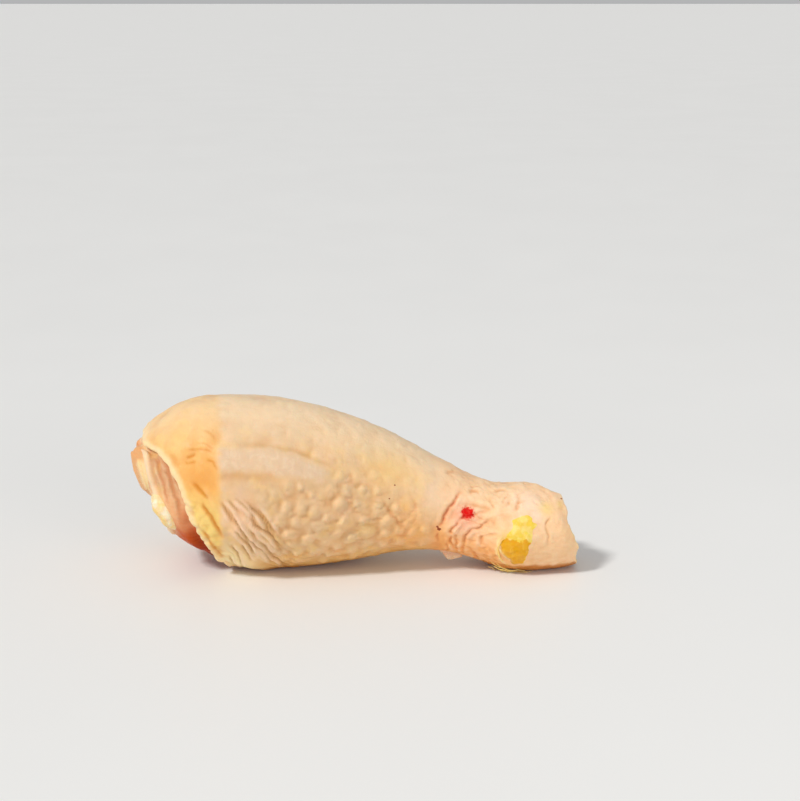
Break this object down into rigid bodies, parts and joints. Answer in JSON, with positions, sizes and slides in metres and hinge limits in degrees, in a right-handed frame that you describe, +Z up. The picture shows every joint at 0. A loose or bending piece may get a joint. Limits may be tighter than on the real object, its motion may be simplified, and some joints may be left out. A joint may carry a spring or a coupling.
{
  "type": "raw chicken drumstick",
  "caption": "Raw chicken drumstick lying on its side, with the skin on, meat and cartilage showing at the cut knee, and the ankle joint at the thin end.",
  "frame": {"origin": "on the surface that the drumstick lies on, under the middle of its bounding box", "axes": "+X along the leg from the cut knee to the cut hock, +Y towards its back, +Z up"},
  "size_m": [0.1394, 0.0513, 0.054],
  "materials": {
    "skin": "satin",
    "meat": "gloss",
    "bone": "gloss",
    "fat": "satin"
  },
  "bodies": {
    "root": {"skin": "skin", "meat": "meat", "bone": "bone", "knee_fat": "fat"}
  },
  "joints": []
}
